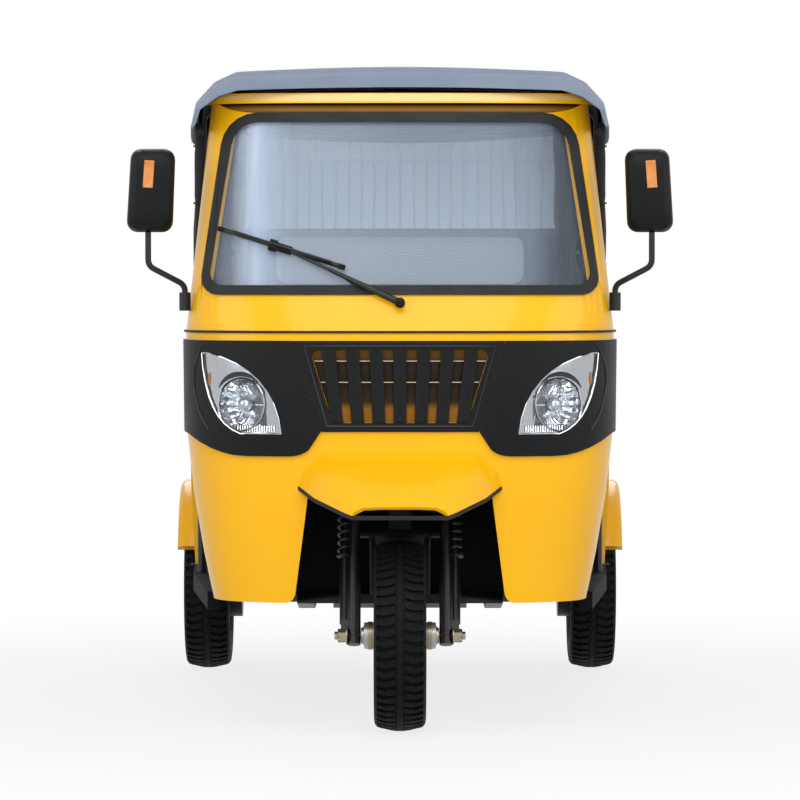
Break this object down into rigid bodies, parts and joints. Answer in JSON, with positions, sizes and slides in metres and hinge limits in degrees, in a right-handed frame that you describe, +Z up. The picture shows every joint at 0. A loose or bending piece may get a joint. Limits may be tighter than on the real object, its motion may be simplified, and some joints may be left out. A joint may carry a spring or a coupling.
{
  "type": "motor tricycle",
  "caption": "Three-wheeled passenger car with a yellow body, black grille and lamp panels, canvas hood, steered front wheel and open sides.",
  "frame": {"origin": "on the ground under the middle of the overall box", "axes": "+Z up, the front looks along -Y, +X is the left side of the car"},
  "size_m": [1.4164, 2.6499, 1.726],
  "materials": {
    "yellow_paint": "gloss",
    "black_plastic": "satin",
    "rubber": "matte",
    "tyre": "matte",
    "glass": "gloss",
    "lens": "gloss",
    "red_lens": "gloss",
    "amber_lens": "gloss",
    "mirror": "gloss",
    "chrome": "gloss",
    "black_steel": "satin",
    "spring_steel": "satin",
    "wheel_silver": "satin",
    "cast_metal": "matte",
    "seat_vinyl": "satin",
    "canvas": "matte",
    "curtain": "matte",
    "clear_vinyl": "gloss"
  },
  "bodies": {
    "body": {"chassis": "black_steel", "floor_pan": "black_steel", "wheel_house": "black_plastic", "front_cowl": "yellow_paint", "lamp_panels": "black_plastic", "grille": "black_plastic", "body_piping": "rubber", "mudguard": "yellow_paint", "screen_frame": "yellow_paint", "windscreen_seal": "rubber", "windscreen": "glass", "wiper": "black_plastic", "headlamp_bowls": "chrome", "headlamp_lenses": "lens", "tail_lamps": "red_lens", "mirror_arms": "black_steel", "mirror_heads": "black_plastic", "mirror_glasses": "mirror", "mirror_lamps": "amber_lens", "dashboard": "black_plastic", "seat_bases": "black_steel", "seat_cushions": "seat_vinyl", "seat_backrests": "seat_vinyl", "rear_tub": "yellow_paint", "rear_fenders": "yellow_paint", "rear_bumper": "black_steel", "tow_eye": "black_steel", "hood_roof": "canvas", "hood_curtain": "canvas", "rear_window": "clear_vinyl", "hood_frame": "black_steel", "rear_curtain": "curtain", "engine": "cast_metal", "rear_suspension": "black_steel"},
    "steering": {"fork": "black_steel", "fork_springs": "spring_steel", "wheel_guard": "black_plastic", "handlebar": "black_steel"},
    "front_wheel": {"front_tyre": "tyre", "front_rim": "wheel_silver"},
    "rear_wheel_left": {"rear_tyre_left": "tyre", "rear_rim_left": "wheel_silver"},
    "rear_wheel_right": {"rear_tyre_right": "tyre", "rear_rim_right": "wheel_silver"},
    "lid": {"engine_lid": "yellow_paint"}
  },
  "joints": [
    {"name": "steering", "type": "hinge", "parent": "body", "child": "steering", "pos_m": [0, -1, 0.245], "axis": [0, 0.309, 0.9511], "range_deg": [-40, 40]},
    {"name": "front_wheel_spin", "type": "hinge", "parent": "steering", "child": "front_wheel", "pos_m": [0, -1.04, 0.245], "axis": [1, 0, 0], "continuous": true},
    {"name": "rear_wheel_left_spin", "type": "hinge", "parent": "body", "child": "rear_wheel_left", "pos_m": [0.57, 0.94, 0.245], "axis": [1, 0, 0], "continuous": true},
    {"name": "rear_wheel_right_spin", "type": "hinge", "parent": "body", "child": "rear_wheel_right", "pos_m": [-0.57, 0.94, 0.245], "axis": [1, 0, 0], "continuous": true},
    {"name": "engine_lid_hinge", "type": "hinge", "parent": "body", "child": "lid", "pos_m": [0, 1.26376, 0.847], "axis": [1, 0, 0], "range_deg": [0, 80]}
  ]
}
